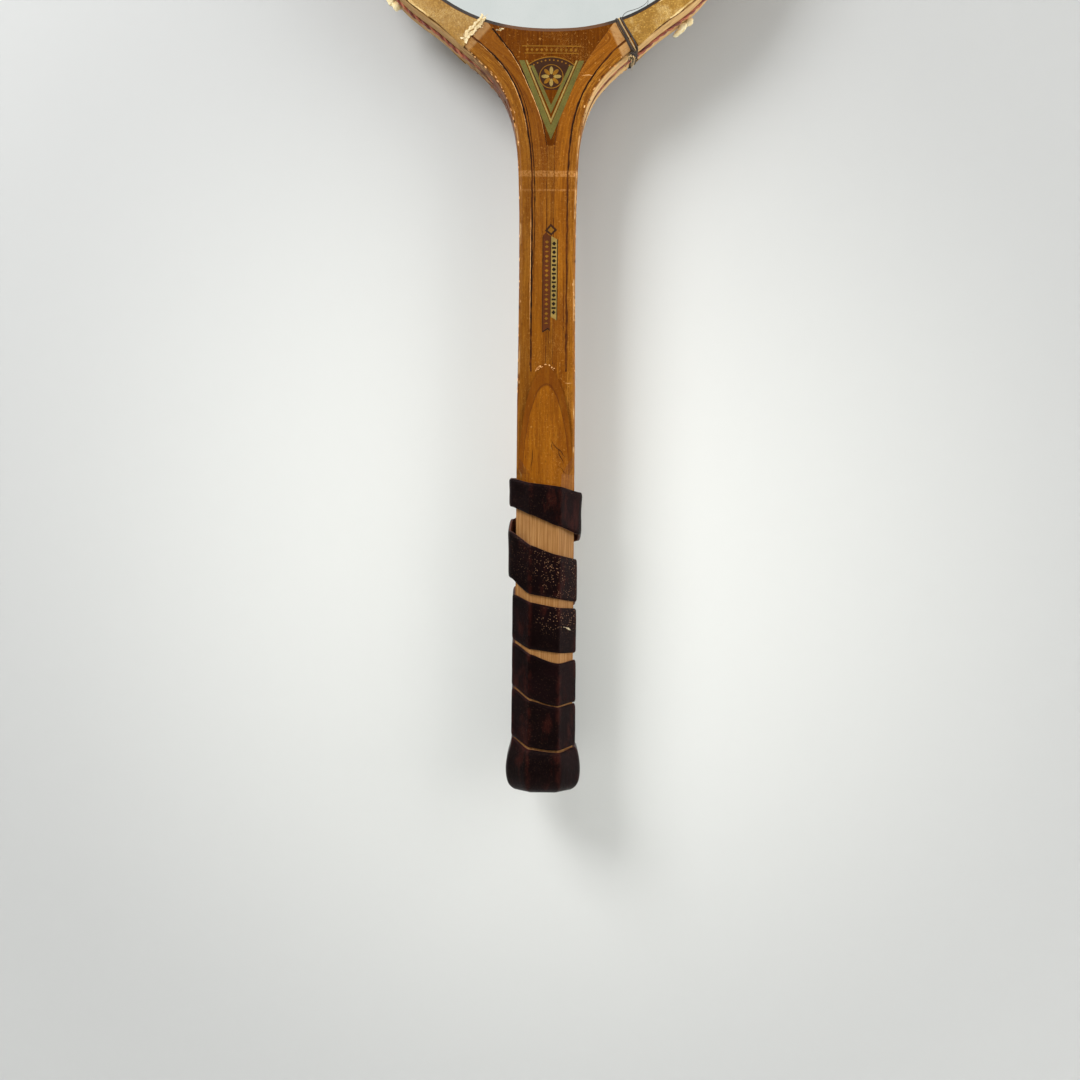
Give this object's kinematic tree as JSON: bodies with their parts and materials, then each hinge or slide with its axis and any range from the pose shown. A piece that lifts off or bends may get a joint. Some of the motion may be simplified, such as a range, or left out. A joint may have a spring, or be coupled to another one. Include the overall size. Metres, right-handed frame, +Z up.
{
  "type": "tennis racket",
  "caption": "Old laminated wooden racket frame with an oval head, spiral leather grip and a mirror plate set in the head for hanging on a wall.",
  "frame": {"origin": "centre of the round hole in the hanger plate behind the head's tip, which is where the racket hangs on a nail", "axes": "+Z up along the racket from butt to head tip, +X to the right seen from the front, the front face looks towards -Y"},
  "size_m": [0.2346, 0.0356, 0.6873],
  "materials": {
    "ash_lacquered": "amber lacquer, worn",
    "mahogany": "dark lacquered",
    "dark_fibre": "dark stained",
    "handle_wood": "bare in the grip, lacquered above it",
    "vellum": "aged fibrous parchment",
    "red_string": "twisted, dull red-brown",
    "dark_thread": "waxed thread",
    "grip_leather": "perforated, dark burgundy, worn",
    "mirror_plate": "silvered glass",
    "sealant": "dark bead",
    "hardboard": "hardboard, textured back",
    "steel": "stamped",
    "brass": "dull brass",
    "transfer": "varnished transfer"
  },
  "bodies": {
    "root": {"outer_ply": "ash_lacquered", "inner_ply": "ash_lacquered", "throat_wedge": "mahogany", "centre_strip": "ash_lacquered", "liner_ply": "dark_fibre", "handle_pallet_front": "handle_wood", "handle_pallet_back": "handle_wood", "front_vellum": "vellum", "back_vellum": "vellum", "vellum_tabs": "vellum", "groove_string": "red_string", "shoulder_whipping": "dark_thread", "whipping_knot": "dark_thread", "butt_collar": "handle_wood", "butt_disc": "grip_leather", "butt_tacks": "brass", "leather_grip": "grip_leather", "mirror_glass": "mirror_plate", "mirror_sealant": "sealant", "backing_board": "hardboard", "glazier_points": "steel", "hanger_plate": "brass", "hanger_screws": "brass", "throat_decal": "transfer", "shaft_decal": "transfer"}
  },
  "joints": []
}
